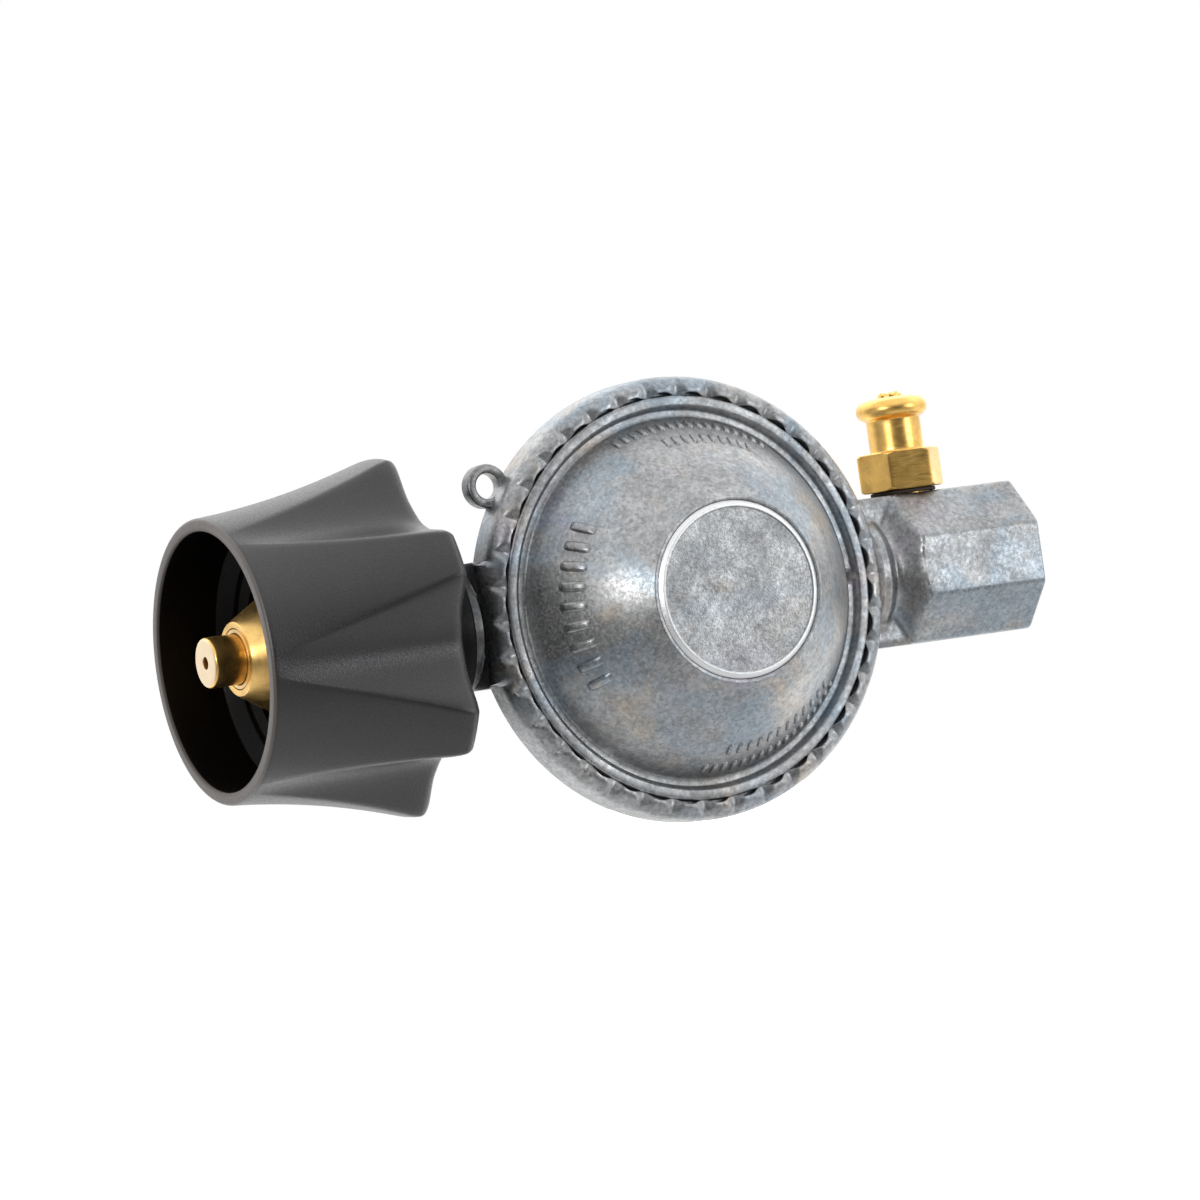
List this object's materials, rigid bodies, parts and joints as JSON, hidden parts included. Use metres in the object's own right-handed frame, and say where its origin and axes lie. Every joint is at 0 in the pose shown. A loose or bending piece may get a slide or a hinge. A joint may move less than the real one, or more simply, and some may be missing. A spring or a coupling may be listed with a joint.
{
  "type": "gas regulator",
  "caption": "Low pressure gas regulator: round diaphragm housing, hand wheel inlet with brass nose, threaded outlet socket and test nipple.",
  "frame": {"origin": "centre of the brass nose's end face, on the inlet axis, where it seats in the cylinder valve", "axes": "+X along the gas line from inlet to outlet, -Y out of the cover, +Z along the test nipple"},
  "size_m": [0.1426, 0.0557, 0.07],
  "materials": {
    "zinc": "die cast zinc, mottled and slightly stained",
    "brass": "turned",
    "steel": "zinc plated",
    "black_plastic": "fine spark texture",
    "brown_plastic": "smooth",
    "pale_plastic": "smooth",
    "rubber": "matt",
    "fibre": "matt"
  },
  "bodies": {
    "housing": {"body": "zinc", "cover": "zinc", "seal_cap": "zinc", "main_spring": "steel", "diaphragm": "rubber", "lever_pin": "steel", "pin_clamp_a": "steel", "pin_clamp_b": "steel", "clamp_screw_a": "steel", "clamp_screw_b": "steel", "orifice": "brass", "inlet_filter": "brass", "inlet_nipple": "brass", "nose_ring": "brass", "nose_probe": "brass", "flow_spring": "steel", "test_washer": "fibre", "test_nipple": "brass"},
    "wheel": {"hand_nut": "black_plastic"},
    "bush": {"thermal_bush": "brown_plastic"},
    "stem": {"relief_stem": "brass", "relief_retainer": "steel"},
    "plate": {"diaphragm_plate": "steel", "relief_spring": "steel"},
    "lever": {"lever": "steel", "valve_seat": "rubber"},
    "adjuster": {"adjuster": "pale_plastic"},
    "test_screw": {"test_screw": "brass"},
    "flow_ball": {"flow_ball": "steel"}
  },
  "joints": [
    {"name": "bush_slide", "type": "slide", "parent": "housing", "child": "bush", "axis": [1, 0, 0], "range_m": [0, 0.0024]},
    {"name": "wheel_spin", "type": "hinge", "parent": "bush", "child": "wheel", "pos_m": [0, 0, 0], "axis": [-1, 0, 0], "continuous": true},
    {"name": "stem_stroke", "type": "slide", "parent": "housing", "child": "stem", "axis": [0, -1, 0], "range_m": [0, 0.0015], "stiffness_N_per_m": 300, "springref_m": -0.004, "deforming": ["main_spring", "diaphragm"]},
    {"name": "relief_lift", "type": "slide", "parent": "stem", "child": "plate", "axis": [0, -1, 0], "range_m": [0, 0.001], "stiffness_N_per_m": 300, "springref_m": -0.003, "deforming": ["relief_spring"]},
    {"name": "lever_swing", "type": "hinge", "parent": "housing", "child": "lever", "pos_m": [0.0628, 0.0041, 0], "axis": [0, 0, -1], "range_deg": [0, 9]},
    {"name": "adjuster_turn", "type": "hinge", "parent": "housing", "child": "adjuster", "pos_m": [0.0733, -0.022, 0], "axis": [0, 1, 0], "continuous": true},
    {"name": "test_screw_turn", "type": "hinge", "parent": "housing", "child": "test_screw", "pos_m": [0.1203, 0, 0.024], "axis": [0, 0, 1], "continuous": true},
    {"name": "flow_ball_travel", "type": "slide", "parent": "housing", "child": "flow_ball", "axis": [1, 0, 0], "range_m": [0, 0.003], "stiffness_N_per_m": 60, "springref_m": -0.003, "deforming": ["flow_spring"]}
  ],
  "couplings": [
    {"joint": "lever_swing", "follows": "stem_stroke", "rad_per_m": 95.24}
  ]
}
